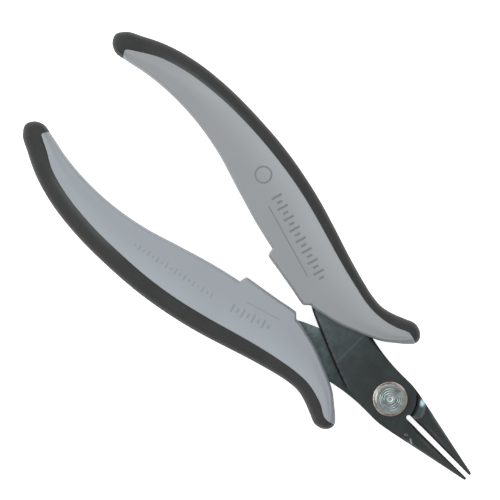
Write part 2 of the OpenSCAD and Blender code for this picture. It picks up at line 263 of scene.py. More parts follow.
def turned(name, profile, segments, place=None):
    """Closed solid of revolution about Z from an open profile of (radius, height) pairs whose
    two ends lie on the axis, or from a closed ring of pairs when it stays off the axis."""
    profile = np.array(profile, float)
    angles = np.arange(segments) * 2 * math.pi / segments
    points = [
        (r * math.cos(a), r * math.sin(a), z) for r, z in profile for a in angles
    ]
    on_axis = profile[0][0] < 1e-9
    rows = len(profile)
    faces = []
    for j in range(rows - 1 if on_axis else rows):
        k = (j + 1) % rows
        for i in range(segments):
            n = (i + 1) % segments
            faces.append(
                (j * segments + i, j * segments + n, k * segments + n, k * segments + i)
            )
    points = np.array(points)
    if place is not None:
        points = place(points)
    return new_object(name, new_mesh(name, points, faces))


def prism(name, outline, low, high):
    """Closed solid with a flat outline, from height low up to height high."""
    n = len(outline)
    points = [(x, y, low) for x, y in outline] + [(x, y, high) for x, y in outline]
    faces = [tuple(range(n - 1, -1, -1)), tuple(range(n, 2 * n))]
    faces += [(i, (i + 1) % n, n + (i + 1) % n, n + i) for i in range(n)]
    return new_object(name, new_mesh(name, points, faces))


def combine(target, cutters, operation):
    """target with each cutter united, taken away or intersected; the cutters are used up."""
    for cutter in cutters:
        m = target.modifiers.new("combine", "BOOLEAN")
        m.object = cutter
        m.operation = operation
        m.solver = "EXACT"
        bake_modifiers(target)
        bpy.data.objects.remove(cutter)


def bake_modifiers(obj):
    """Applies every modifier to the mesh."""
    bpy.context.view_layer.update()
    evaluated = obj.evaluated_get(bpy.context.evaluated_depsgraph_get())
    mesh = bpy.data.meshes.new_from_object(evaluated)
    obj.modifiers.clear()
    obj.data = mesh


# ---- Lapped halves ----

TIP_CENTRE = np.array((TIP_X - TIP_R, -(TIP_HALF_GAP + TIP_R)))
TAPER_MID = np.array((TAPER_X, -ROOT_HALF_GAP - TAPER_R * SLANT))
TAPER_OUTER_Y = TAPER_MID[1] - TAPER_R * SLANT
JAW_AXIS = (TIP_CENTRE - TAPER_MID) / np.linalg.norm(TIP_CENTRE - TAPER_MID)
JAW_LEN = float(np.linalg.norm(TIP_CENTRE - TAPER_MID))


def jaw_outer_y(x):
    """The jaw's outer edge between its foot on the lap and the start of its fine taper."""
    share = (x - JAW_OUTER_FOOT[0]) / (TAPER_X - JAW_OUTER_FOOT[0])
    return JAW_OUTER_FOOT[1] + (TAPER_OUTER_Y - JAW_OUTER_FOOT[1]) * share


def along_jaw(points):
    """Turns a mesh made about Z so that its axis runs along the jaw."""
    ax, ay = JAW_AXIS
    along, across, up = points[:, 2], points[:, 1], -points[:, 0]
    return np.column_stack((
        TAPER_MID[0] + along * ax - across * ay,
        TAPER_MID[1] + along * ay + across * ax,
        up,
    ))


# The lap's round end, from one angle to the other in degrees, and steps along the outline.
BOSS_SPAN = (68, 6)
BOSS_STEPS = 40
ROOT_STEPS = 16
PLATE_STEPS = 8


def plate_outline():
    """Outline of lap, shank and tang, with the stub that the jaw's block stands on."""
    root = arc(ROOT_HALF_GAP, 90, 270, ROOT_STEPS) + (GAP_ROOT_X + ROOT_HALF_GAP, 0)
    stub = [(JAW_STUB_X, -ROOT_HALF_GAP), (JAW_STUB_X, jaw_outer_y(JAW_STUB_X))]
    return np.vstack((
        open_line(UPPER_EDGE_KNOTS, PLATE_STEPS), arc(BOSS_R, *BOSS_SPAN, BOSS_STEPS), root,
        stub, open_line(LOWER_EDGE_KNOTS, PLATE_STEPS),
    ))


# How far a cutter reaches past the piece that it cuts.
PAST = 1
TANG_REACH_X = -130
TANG_REACH_Y = 40
HOLE_SEGMENTS = 96
JAW_SEGMENTS = 144
TIP_STEP_ANGLE = 7.5
ROOM_SEGMENTS = 192
SLOPE_KNOTS = 17


def lapped_half(name, bore_r):
    """One forged half: lap, shank and tang in one plate, and a round jaw as thick as both laps,
    cut away where the other half's round end turns."""
    plate = prism("plate", plate_outline(), LAP_GAP / 2, PLATE_T)
    low, top = PLATE_T - SHANK_FALL, PLATE_T + PAST
    fall = prism(
        "fall",
        [(TANG_REACH_X, low), (SHANK_END_X, low), (CREASE_X, PLATE_T), (CREASE_X, top),
         (TANG_REACH_X, top)],
        -TANG_REACH_Y, TANG_REACH_Y,
    )
    # The fall is drawn as a side view, so its outline's second axis is turned to point up.
    fall.data.transform(((1, 0, 0, 0), (0, 0, -1, 0), (0, 1, 0, 0), (0, 0, 0, 1)))
    holes = [
        turned("hole", [(0, -PAST), (r, -PAST), (r, top), (0, top)], HOLE_SEGMENTS,
               lambda p, x=x, y=y: p + (x, y, 0))
        for x, y, r in [(0, 0, bore_r)] + [(x, y, KEY_HOLE_R) for x, y in KEY_HOLES]
    ]
    combine(plate, [fall, *holes], "DIFFERENCE")
    root = (JAW_ROOT_X - TAPER_X) / JAW_AXIS[0]
    tip = [(TIP_R * math.cos(a), JAW_LEN + TIP_R * math.sin(a))
           for a in np.radians(np.arange(0, 90, TIP_STEP_ANGLE))]
    jaw = turned(
        "jaw",
        [(0, root), (JAW_ROOT_R, root), (TAPER_R, 0), *tip, (0, JAW_LEN + TIP_R)],
        JAW_SEGMENTS, along_jaw,
    )
    free_x, far_x = TAPER_X + 2 * PAST, TIP_X + 2 * PAST
    flats = prism("flats", [
        (JAW_ROOT_X, jaw_outer_y(JAW_ROOT_X)), (TAPER_X, TAPER_OUTER_Y - FLAT_RELIEF),
        (free_x, TAPER_OUTER_Y - PAST), (far_x, TAPER_OUTER_Y - PAST), (far_x, PAST),
        (free_x, PAST), (TAPER_X, -ROOT_HALF_GAP + FLAT_RELIEF),
        (GAP_ROOT_X + ROOT_HALF_GAP, -ROOT_HALF_GAP), (JAW_ROOT_X, -ROOT_HALF_GAP),
    ], -PLATE_T, PLATE_T)
    foot = LAP_GAP / 2
    hollow = [
        (SHOULDER_R + (SLOPE_R - SHOULDER_R) * t,
         -PLATE_T + SLOPE_FALL * (1 + math.cos(math.pi * t)) / 2)
        for t in np.linspace(1, 0, SLOPE_KNOTS)
    ]
    floor_z = -PLATE_T - PAST
    room = turned(
        "room",
        [(0, floor_z), (SLOPE_R, floor_z), *hollow, (SHOULDER_R, foot), (0, foot)],
        ROOM_SEGMENTS,
    )
    combine(jaw, [flats], "INTERSECT")
    combine(jaw, [room], "DIFFERENCE")
    combine(plate, [jaw], "UNION")
    plate.name = name
    return plate


# Radii of the rounded edges: the plate's open face, the same on the shank, the lap's face, the
# jaw's block below the lap, and the two places where the jaw runs into the plate.
EDGE_ROUND = 0.16
SHANK_ROUND = 1.2
LAP_ROUND = 0.08
BLOCK_ROUND = 0.06
JOIN_ROUND = 0.03
JOINS = [(JAW_STUB_X, -ROOT_HALF_GAP), JAW_OUTER_FOOT]
# Distances from such a place at which the rounding starts to grow and over which it does.
JOIN_REACH = 0.4
JOIN_RUN = 0.8
# Where the shank's larger rounding starts and the length over which it grows to the full.
SHANK_ROUND_X = -6
SHANK_ROUND_RUN = 8
# The tang past here stays square, as the grip hides it.
SQUARE_X = SHANK_END_X - 2
# Degrees that two faces turn at an edge which gets rounded.
SHARP_FROM = 32
ROUND_SEGMENTS = 3
# Points closer than this and faces that turn less than this many degrees become one.
MERGE_DISTANCE = 2e-3
MERGE_ANGLE = 0.5


def edge_radius(middle):
    """Radius of the rounding of an edge whose middle is given."""
    if middle.x < SQUARE_X:
        return 0
    if middle.z < -LAP_GAP:
        return BLOCK_ROUND
    if middle.z < PLATE_T / 2:
        return LAP_ROUND
    shank = smoothstep((SHANK_ROUND_X - middle.x) / SHANK_ROUND_RUN)
    radius = EDGE_ROUND + (SHANK_ROUND - EDGE_ROUND) * shank
    away = min(math.dist(middle.xy, join) for join in JOINS)
    return JOIN_ROUND + (radius - JOIN_ROUND) * smoothstep((away - JOIN_REACH) / JOIN_RUN)


def round_edges(obj):
    """Rounds each sharp edge by its own radius, after flat faces are merged."""
    bm = bmesh.new()
    bm.from_mesh(obj.data)
    bmesh.ops.remove_doubles(bm, verts=bm.verts, dist=MERGE_DISTANCE)
    bmesh.ops.dissolve_limit(
        bm, angle_limit=math.radians(MERGE_ANGLE), verts=bm.verts, edges=bm.edges
    )
    weight = bm.edges.layers.float.new("bevel_weight_edge")
    for e in bm.edges:
        if math.degrees(e.calc_face_angle(0)) > SHARP_FROM:
            e[weight] = float(edge_radius((e.verts[0].co + e.verts[1].co) / 2) / SHANK_ROUND)
    bm.to_mesh(obj.data)
    bm.free()
    m = obj.modifiers.new("round", "BEVEL")
    m.width = SHANK_ROUND
    m.segments = ROUND_SEGMENTS
    m.limit_method = "WEIGHT"
    m.use_clamp_overlap = False
    m.miter_outer = "MITER_ARC"
    bake_modifiers(obj)


EDGE_TURN_FROM = 19
EDGE_TURN_RUN = 7
WALL_NORMAL_Z = 0.05
FLAT_NORMAL_Z = 0.98


def mark_edges(obj):
    """Stores how sharply the surface turns outward at each vertex, from 0 to 1, as a point
    attribute, which the steel's look uses for painted shade on the rounded edges and for worn bare
    metal along them.
    Only the rounded edges count, so that none of it spreads over a flat or a side wall. A flat
    or a wall is told by its normal, and the turn counts from EDGE_TURN_FROM over EDGE_TURN_RUN
    degrees."""
    bm = bmesh.new()
    bm.from_mesh(obj.data)
    bm.normal_update()
    layer = bm.verts.layers.float.new("edge_wear_and_shade")
    for v in bm.verts:
        turn = max((e.calc_face_angle_signed(0) for e in v.link_edges), default=0)
        in_round = all(WALL_NORMAL_Z < abs(f.normal.z) < FLAT_NORMAL_Z for f in v.link_faces)
        edge_share = smoothstep((math.degrees(turn) - EDGE_TURN_FROM) / EDGE_TURN_RUN)
        v[layer] = float(edge_share) if in_round else 0
    bm.to_mesh(obj.data)
    bm.free()


CREASE_ANGLE = 40


def finish_mesh(obj, rolled):
    """Moves a mesh to the row frame and shades it smooth but for its sharper edges."""
    co = np.array([v.co for v in obj.data.vertices])
    obj.data.vertices.foreach_set("co", to_row(co, rolled).astype(np.float32).ravel())
    for p in obj.data.polygons:
        p.use_smooth = True
    obj.data.set_sharp_from_angle(angle=math.radians(CREASE_ANGLE))
    obj.data.update()


for arm, rolled, bore in (("front", False, SHANK_R + RIVET_CLEARANCE), ("rear", True, SHANK_R)):
    half = lapped_half(f"{arm}_half_forged", bore)
    round_edges(half)
    mark_edges(half)
    finish_mesh(half, rolled)
    m = half.modifiers.new("normals", "WEIGHTED_NORMAL")
    m.keep_sharp = True
    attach(half, f"{arm}_arm")
    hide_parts(f"{arm}_half")

# ---- Pivot ----

RINGS = [HEAD_R * share for share in (0.44, 0.58, 0.72)]
RING_W = 0.22
RING_DEPTH = 0.07
# How far the head's eased rim reaches in and down.
HEAD_EDGE = (0.75, 0.26)
DISH_R = 1.25
DISH_DEPTH = 0.10
LATHE_SEGMENTS = 128
# Points across each turned groove and down to the middle of the dish.
GROOVE_POINTS = 9
RIM_POINTS = 7


def head_profile(z, height, side, rings):
    """From the rim in to the axis: an eased rim, turned grooves and a shallow dish."""
    rim = [
        (HEAD_R - HEAD_EDGE[0] * (1 - math.cos(a)),
         z + side * (height - HEAD_EDGE[1] * (1 - math.sin(a))))
        for a in np.radians(np.linspace(0, 90, RIM_POINTS))
    ]
    face = []
    for r in sorted(rings, reverse=True):
        for t in np.linspace(1, -1, GROOVE_POINTS):
            dip = RING_DEPTH * 0.5 * (1 + math.cos(math.pi * t))
            face.append((r + t * RING_W, z + side * (height - dip)))
    centre = [
        (DISH_R * t, z + side * (height - DISH_DEPTH * 0.5 * (1 + math.cos(math.pi * t))))
        for t in np.linspace(1, 0, GROOVE_POINTS)
    ]
    return [(HEAD_R, z), *rim, *face, *centre]


front_z = PLATE_T + WASHER_CLEARANCE + WASHER_T
rear_z = -PLATE_T - WASHER_T
rivet_profile = (
    head_profile(rear_z, REAR_HEAD_H, -1, RINGS[2:])[::-1]
    + [(SHANK_R, rear_z), (SHANK_R, front_z)]
    + head_profile(front_z, FRONT_HEAD_H, 1, RINGS)
)
rivet = turned("rivet_turned", rivet_profile, LATHE_SEGMENTS)
finish_mesh(rivet, False)
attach(rivet, "rear_arm")
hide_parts("pivot_rivet")


WASHER_EASE = 0.09
WASHER_CORNER_POINTS = 4
WASHER_BORE_R = SHANK_R + 0.01


def washer_ring(z):
    """Closed ring of the washer's section with eased corners."""
    ease = WASHER_EASE
    corners = [
        (WASHER_R, z, 1, -1), (WASHER_R, z + WASHER_T, 1, 1),
        (WASHER_BORE_R, z + WASHER_T, -1, 1), (WASHER_BORE_R, z, -1, -1),
    ]
    ring = []
    for k, (r, h, sr, sh) in enumerate(corners):
        for a in np.radians(np.linspace(-90, 0, WASHER_CORNER_POINTS) + 90 * k):
            ring.append((
                r - sr * ease + ease * math.cos(a), h - sh * ease + ease * math.sin(a)
            ))
    return ring


for side, z in (("front", PLATE_T + WASHER_CLEARANCE), ("rear", -PLATE_T - WASHER_T)):
    washer = turned(f"{side}_washer_bronze", washer_ring(z), LATHE_SEGMENTS)
    finish_mesh(washer, False)
    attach(washer, "rear_arm")
    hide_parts(f"{side}_bearing_washer")

# ---- Grips ----

# Curve steps between two knots here and in the CAD source, whose easing is matched.
GRIP_STEPS = 12
CAD_STEPS = 3
CAD_EASE_PASSES = 3
# Knots over which the strap's skin and the palm's edge come in from each end.
END_KNOTS = 3
grip_last = (len(OUTER_KNOTS) - 1) * GRIP_STEPS


def square_to(points, side):
    """Unit vectors square to a curve, with both ends' vectors fixed."""
    run = points[2:] - points[:-2]
    run /= np.linalg.norm(run, axis=1)[:, None]
    middle = side * np.column_stack((run[:, 1], -run[:, 0]))
    return np.vstack((TOE_INWARD, middle, GUARD_INWARD))


def eased(vectors, passes):
    """Unit vectors averaged with their neighbours, but for the first and the last."""
    v = vectors.copy()
    for _ in range(passes):
        v[1:-1] = v[:-2] + v[1:-1] + v[2:]
        v /= np.linalg.norm(v, axis=1)[:, None]
    return v


EASE_PASSES = CAD_EASE_PASSES * (GRIP_STEPS // CAD_STEPS) ** 2
outer_line = smooth_line(OUTER_KNOTS, INNER_KNOTS[1], INNER_KNOTS[-2], GRIP_STEPS)
inner_base = smooth_line(INNER_KNOTS, OUTER_KNOTS[1], OUTER_KNOTS[-2], GRIP_STEPS)
front_seam = open_line(FRONT_SEAM_KNOTS, GRIP_STEPS)
back_seam = open_line(BACK_SEAM_KNOTS, GRIP_STEPS)
outer_in = eased(square_to(outer_line, 1), EASE_PASSES)
inner_in = eased(square_to(inner_base, -1), EASE_PASSES)
base_x = inner_base[:, 0]
along_land = (base_x - LAND_FROM) / (LAND_TO - LAND_FROM)
land = (
    LAND_RISE
    * (1 - (1 - np.clip((base_x - LAND_FROM) / LAND_START_RUN, 0, 1)) ** 2)
    * smoothstep((LAND_TO - base_x) / LAND_END_RUN)
    * (1 - (1 - LAND_END_SHARE) * np.maximum(0, along_land))
)
inner_line = inner_base - inner_in * land[:, None]
station = np.arange(grip_last + 1)
end_run = END_KNOTS * GRIP_STEPS
skin_share = smoothstep(station / end_run) * smoothstep((grip_last - station) / end_run)


def seam_at(turn, inset, side):
    """The seam's curve where the wall has turned this share of the way to its face."""
    face = back_seam if side < 0 else front_seam
    edge = outer_line + outer_in * inset
    at_middle = outer_in * STRAP_SKIN * skin_share[:, None]
    at_face = face - outer_line - outer_in * EDGE_IN
    line = edge + at_middle * (1 - turn) + at_face * turn
    line[0], line[-1] = edge[0], edge[-1]
    return line


EDGE_STEPS = 12
# The mould's parting line as (height, how far it stands proud).
PARTING_ROWS = [
    (-1.0, 0), (-0.16, 0), (-0.07, 0.022), (0, 0.035), (0.07, 0.022), (0.16, 0), (1.0, 0),
]
GROOVE_DEPTH = 0.13
# The groove beside the seam as (distance from the seam, share of its depth).
GROOVE_CURVES = [(0.04, 0.72), (0.10, 0.40), (0.18, 0.14), (0.28, 0)]
# A face narrower than this has its groove scaled down.
FULL_GROOVE_WIDTH = 0.9
# How far each face falls towards its edge, over what share of its width, and its rows.
PANEL_CROWN = 0.45
PANEL_CROWN_RUN = 0.55
PANEL_STEPS = 14
SKIN_CROWN = 0.16
SKIN_CROWN_RUN = 0.8
SKIN_STEPS = 6


def wall_rows():
    """(height, inset, share turned, side) of each row up the wall, back face to front face,
    with the mould's parting line standing slightly proud at half height."""
    rows = []
    for side in (-1, 1):
        for i in range(EDGE_STEPS + 1):
            a = math.pi / 2 * i / EDGE_STEPS
            rows.append((
                side * (GRIP_HALF - EDGE_DOWN + EDGE_DOWN * math.sin(a)),
                EDGE_IN * (1 - math.cos(a)), math.sin(a), side,
            ))
    middle = [(height, -proud, 0, 1) for height, proud in PARTING_ROWS]
    return rows[: EDGE_STEPS + 1][::-1] + middle + rows[EDGE_STEPS + 1:]


ROWS = wall_rows()


def lift(line, height):
    """A flat curve raised to a height, or each point to its own."""
    return np.column_stack((line, np.broadcast_to(height, len(line))))


def face_curves(seam, edge, plain, side, steps, crown, crown_run):
    """Curves across one face from the seam to the rounded edge, both left out. The face dips
    into the seam's groove, and falls away by crown over the last crown_run of the width that
    it has without the land, up to the plain edge."""
    across = edge - seam
    width = np.linalg.norm(across, axis=1)
    beyond = width / np.maximum(np.linalg.norm(plain - seam, axis=1), 1e-9)
    room = np.minimum(1, width / FULL_GROOVE_WIDTH)
    aim = across / np.maximum(width, 1e-9)[:, None]
    out = []
    for reach, share in GROOVE_CURVES:
        s = reach * room / np.maximum(width, 1e-9)
        fall = crown * smoothstep((s * beyond - 1 + crown_run) / crown_run)
        drop = GROOVE_DEPTH * share * room + fall
        out.append(lift(seam + aim * (reach * room)[:, None], side * (GRIP_HALF - drop)))
    for t in np.linspace(0, 1, steps + 1)[1:-1]:
        start = GROOVE_CURVES[-1][0] * room / np.maximum(width, 1e-9)
        s = start + (1 - start) * t
        drop = crown * smoothstep((s * beyond - 1 + crown_run) / crown_run)
        out.append(lift(seam + across * s[:, None], side * (GRIP_HALF - drop)))
    return out


def grip_piece(name, edge_curve, plain_curve, crown, crown_run, steps):
    """Closed solid between the seam and edge_curve, which gives the wall's curve at an inset.
    steps is the count of rows across each face. The palm attribute is 0 at the seam, and 1 at
    the edge and on the wall."""
    n = grip_last + 1
    crown = crown * skin_share
    squeeze = 1 - crown / GRIP_HALF
    width = np.linalg.norm(edge_curve(EDGE_IN) - seam_at(1, EDGE_IN, 1), axis=1)
    room = np.minimum(1, width / FULL_GROOVE_WIDTH)
    deepest = GRIP_HALF - GROOVE_DEPTH * room
    edges = [edge_curve(inset) for _, inset, _, _ in ROWS]
    seams = [seam_at(turn, inset, side) for _, inset, turn, side in ROWS]
    heights = [height for height, _, _, _ in ROWS]
    wall = [lift(e, height * squeeze) for e, height in zip(edges, heights)]
    seam_wall = [lift(c, np.clip(h, -deepest, deepest)) for c, h in zip(seams, heights)]
    plain = plain_curve(EDGE_IN)
    front = face_curves(seams[-1], edges[-1], plain, 1, steps, crown, crown_run)
    back = face_curves(seams[0], edges[0], plain, -1, steps, crown, crown_run)
    loop = wall + front[::-1] + seam_wall[::-1] + back
    around = len(loop)
    points = np.vstack(loop)
    ramp = np.linspace(0, 1, len(front) + 2)[1:-1]
    shares = [1] * len(wall) + list(ramp[::-1]) + [0] * len(seam_wall) + list(ramp)
    palm = np.repeat(np.array(shares, np.float32), n)
    faces = []
    for j in range(around):
        k = (j + 1) % around
        for i in range(n - 1):
            faces.append((j * n + i, j * n + i + 1, k * n + i + 1, k * n + i))
    return new_object(name, new_mesh(name, points, faces, palm))


# The palm side's edge reaches in less than the spine's, but for the two ends.
PALM_SHARE = 1 - (1 - PALM_EDGE_IN / EDGE_IN) * skin_share


def outer_at(inset):
    return outer_line + outer_in * inset


def inner_at(inset):
    return inner_line + inner_in * (inset * PALM_SHARE)[:, None]


def inner_plain(inset):
    """As inner_at, but as if there were no land."""
    return inner_base + inner_in * (inset * PALM_SHARE)[:, None]


for arm, rolled in (("front", False), ("rear", True)):
    strap = grip_piece(
        f"{arm}_grip_skin", outer_at, outer_at, SKIN_CROWN, SKIN_CROWN_RUN, SKIN_STEPS
    )
    body = grip_piece(
        f"{arm}_grip_panel", inner_at, inner_plain, PANEL_CROWN, PANEL_CROWN_RUN, PANEL_STEPS
    )
    for piece, node, slot in (
        (strap, f"{arm}_grip_strap", "grip_rubber"), (body, f"{arm}_grip_body", "grip_plastic")
    ):
        finish_mesh(piece, rolled)
        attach(piece, f"{arm}_arm")
        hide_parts(node)

# ---- Materials ----


class Graph:
    """One material's nodes, with a short call for each kind that is used."""

    def __init__(self, name):
        self.material = bpy.data.materials.new(name)
        self.material.use_nodes = True
        self.tree = self.material.node_tree
        self.shader = self.tree.nodes["Principled BSDF"]
        self.place = self.add("ShaderNodeTexCoord").outputs["Object"]

    def add(self, kind, **settings):
        node = self.tree.nodes.new(kind)
        for key, value in settings.items():
            setattr(node, key, value)
        return node

    def feed(self, socket, value):
        if isinstance(value, bpy.types.NodeSocket):
            self.tree.links.new(value, socket)
        else:
            socket.default_value = value

    def set(self, **values):
        for key, value in values.items():
            self.feed(self.shader.inputs[key.replace("_", " ")], value)

    def math(self, operation, a, b=0.0):
        node = self.add("ShaderNodeMath", operation=operation)
        self.feed(node.inputs[0], a)
        self.feed(node.inputs[1], b)
        return node.outputs[0]

    def noise(self, scale, detail=3.0, roughness=0.5, place=None):
        node = self.add("ShaderNodeTexNoise")
        self.feed(node.inputs["Vector"], place or self.place)
        self.feed(node.inputs["Scale"], scale)
        self.feed(node.inputs["Detail"], detail)
        self.feed(node.inputs["Roughness"], roughness)
        return node.outputs["Fac"]

    def span(self, value, low, high, out_low=0.0, out_high=1.0):
        """value from low to high as a smooth step from out_low to out_high."""
        node = self.add("ShaderNodeMapRange", interpolation_type="SMOOTHSTEP")
        for socket, v in zip(node.inputs, (value, low, high, out_low, out_high)):
            self.feed(socket, v)
        return node.outputs[0]

    def mix(self, share, a, b):
        node = self.add("ShaderNodeMix", data_type="RGBA")
        self.feed(node.inputs[0], share)
        for socket, colour in ((node.inputs[6], a), (node.inputs[7], b)):
            self.feed(socket, colour if isinstance(colour, bpy.types.NodeSocket) else (*colour, 1))
        return node.outputs[2]

    def local(self, origin, angle=0.0, scale=(1, 1, 1)):
        """Millimetres from a point of the pivot frame, turned by angle degrees, each divided
        by scale."""
        node = self.add("ShaderNodeMapping", vector_type="TEXTURE")
        self.feed(node.inputs["Vector"], self.place)
        node.inputs["Location"].default_value = tuple(np.array(origin) * MM + PIVOT)
        node.inputs["Rotation"].default_value = (0, 0, math.radians(angle))
        node.inputs["Scale"].default_value = tuple(MM * s for s in scale)
        return node.outputs[0]

    def split(self, vector):
        node = self.add("ShaderNodeSeparateXYZ")
        self.feed(node.inputs[0], vector)
        return node.outputs

    def length(self, vector):
        node = self.add("ShaderNodeVectorMath", operation="LENGTH")
        self.feed(node.inputs[0], vector)
        return node.outputs["Value"]

    def attribute(self, name):
        return self.add("ShaderNodeAttribute", attribute_name=name).outputs["Fac"]

    def bump(self, height, distance, strength=1.0):
        """Adds to the bumps that are already there."""
        node = self.add("ShaderNodeBump")
        self.feed(node.inputs["Height"], height)
        self.feed(node.inputs["Distance"], distance)
        self.feed(node.inputs["Strength"], strength)
        before = self.shader.inputs["Normal"]
        if before.links:
            self.feed(node.inputs["Normal"], before.links[0].from_socket)
        self.feed(before, node.outputs[0])


# Scale of a place whose height doesn't count.
FLATTEN = (1, 1, 1e6)


def patch(g, origin, angle, scale, near=0.2, far=1.2):
    """Soft oval patch, 1 at its centre and 0 outside."""
    return g.span(g.length(g.local(origin, angle, scale)), far, near)


def black_oxide(name, shank_from, shank_lift, painted_lights, nicks):
    """Blackened forged steel: mottled, with a painted reflection as a lighter blue-green cast on
    the shank that starts at shank_from, a painted highlight as a faint line at the crease, painted
    shade on the rounded edges, worn bare metal along them, nicks and patches of painted light."""
    g = Graph(name)
    x, _, _ = g.split(g.local((0, 0, 0)))
    cloud = g.noise(260, 5, 0.6)
    blotch = g.noise(800, 4, 0.65)
    fine = g.noise(2600, 3, 0.6)
    grain = g.noise(90, 4, 0.6, g.local((0, 0, 0), 35, (0.012, 0.2, 0.2)))
    # Painted reflection: the shank lighter and blue-green towards the grip, broken up by the cloud
    # and blotch mottling.
    shank = g.math("MULTIPLY", g.span(x, shank_from, -27), g.span(cloud, 0.25, 0.65, 0.75, 1.1))
    shank = g.math("MULTIPLY", shank, g.span(blotch, 0.35, 0.65, 0.75, 1.2))
    shade = g.mix(g.span(cloud, 0.3, 0.7), (0.044, 0.051, 0.052), (0.052, 0.060, 0.060))
    shade = g.mix(g.math("MULTIPLY", shank, shank_lift), shade, (0.135, 0.175, 0.180))
    shade = g.mix(g.span(fine, 0.56, 0.72, 0, 0.12), shade, (0.12, 0.14, 0.145))
    # Painted highlight: a lighter line along the crease where the shank bends.
    crease = g.span(g.math("ABSOLUTE", g.math("ADD", x, -CREASE_X)), 0.45, 0.1, 0, 0.25)
    shade = g.mix(crease, shade, (0.13, 0.16, 0.165))
    shade = g.mix(g.span(x, 8, 26, 0, 0.45), shade, (0.085, 0.090, 0.088))
    # Painted shade: the rounded edges darkened.
    shade = g.mix(g.attribute("edge_wear_and_shade"), shade, (0.040, 0.043, 0.043))
    rubbed = g.span(g.noise(900, 3), 0.42, 0.62, 0, 0.06)
    bare = g.math("MULTIPLY", g.attribute("edge_wear_and_shade"), rubbed)
    chips = g.span(g.noise(2600, 2), 0.46, 0.54)
    for strength, place in nicks:
        nick = g.math("MULTIPLY", patch(g, *place, near=0.6), chips)
        bare = g.math("MAXIMUM", bare, g.math("MULTIPLY", nick, strength))
    shade = g.mix(bare, shade, (0.36, 0.41, 0.42))
    # Each patch of painted light, broken up by the blotch noise as far as its first value says.
    for broken, colour, place in painted_lights:
        painted_light = g.math("MULTIPLY", patch(g, *place), g.span(blotch, 0.35, 0.6, 1 - broken, 1))
        shade = g.mix(painted_light, shade, colour)
    rough = g.math("SUBTRACT", g.span(cloud, 0.3, 0.7, 0.47, 0.53), g.math("MULTIPLY", bare, 0.14))
    g.set(Base_Color=shade, Metallic=1.0, Roughness=rough)
    g.bump(fine, 0.00004, 0.35)
    g.bump(grain, 0.00005, 0.25)
    return g.material


def zinc(name):
    """Zinc-plated head with turned rings, a peened centre and blotchy passivation."""
    g = Graph(name)
    r = g.length(g.local((0, 0, 0), 0, FLATTEN))
    blotch = g.noise(500, 3, 0.55)
    fleck = g.noise(2600, 3, 0.6)
    wander = g.math("MULTIPLY", blotch, 9)
    tool_marks = g.math("SINE", g.math("ADD", g.math("MULTIPLY", r, 11.5), wander))
    shade = g.mix(g.span(blotch, 0.36, 0.62), (0.19, 0.225, 0.225), (0.30, 0.345, 0.34))
    shade = g.mix(g.span(tool_marks, -0.4, 1, 0, 0.5), shade, (0.09, 0.11, 0.11))
    middle = g.math("MULTIPLY", g.span(r, 1.5, 0.3), g.span(fleck, 0.36, 0.58))
    shade = g.mix(middle, shade, (0.66, 0.75, 0.75))
    shade = g.mix(g.span(r, 3.1, 3.6, 0, 0.6), shade, (0.30, 0.34, 0.34))
    g.set(Base_Color=shade, Metallic=1.0, Roughness=g.span(blotch, 0.3, 0.7, 0.34, 0.46))
    g.bump(blotch, 0.00010, 0.5)
    g.bump(fleck, 0.00002, 0.5)
    g.bump(tool_marks, 0.00003, 0.6)
    return g.material


def bronze(name):
    """Turned bronze with fine rings, tarnished in places."""
    g = Graph(name)
    cloud = g.noise(240, 4, 0.6)
    r = g.length(g.local((0, 0, 0), 0, FLATTEN))
    wander = g.math("MULTIPLY", cloud, 8)
    rings = g.math("SINE", g.math("ADD", g.math("MULTIPLY", r, 40), wander))
    shade = g.mix(g.span(cloud, 0.35, 0.65), (0.27, 0.215, 0.185), (0.66, 0.56, 0.49))
    g.set(Base_Color=shade, Metallic=1.0, Roughness=g.span(cloud, 0.3, 0.7, 0.28, 0.45))
    g.bump(rings, 0.00001, 0.5)
    return g.material


def within(g, value, reach):
    """1 where value is less than reach away from 0, otherwise 0."""
    return g.math("LESS_THAN", g.math("ABSOLUTE", value), reach)


def tick_band(g, origin, angle, length, tall, short, pitch, stroke):
    """Mask of a plain printed scale: upright strokes, every second one short."""
    u, v, _ = g.split(g.local((*origin, 0), angle))
    step = g.math("DIVIDE", u, pitch)
    off_centre = g.math("SUBTRACT", g.math("FRACT", step), 0.5)
    bar = within(g, off_centre, stroke / pitch / 2)
    half_step = g.math("MULTIPLY", g.math("FLOOR", step), 0.5)
    is_tall = g.math("LESS_THAN", g.math("FRACT", half_step), 0.25)
    reach = g.math("ADD", short / 2, g.math("MULTIPLY", is_tall, (tall - short) / 2))
    bars = g.math("MULTIPLY", within(g, u, length / 2), bar)
    return g.math("MULTIPLY", bars, within(g, v, reach))


def printed_line(g, origin, angle, length, width):
    u, v, _ = g.split(g.local((*origin, 0), angle))
    return g.math("MULTIPLY", within(g, u, length / 2), within(g, v, width / 2))


def printed_ring(g, origin, radius, width):
    r = g.length(g.local((*origin, 0), 0, FLATTEN))
    return within(g, g.math("SUBTRACT", r, radius), width / 2)


# The print shows only this far down from the front face.
PRINT_DEPTH = 0.6


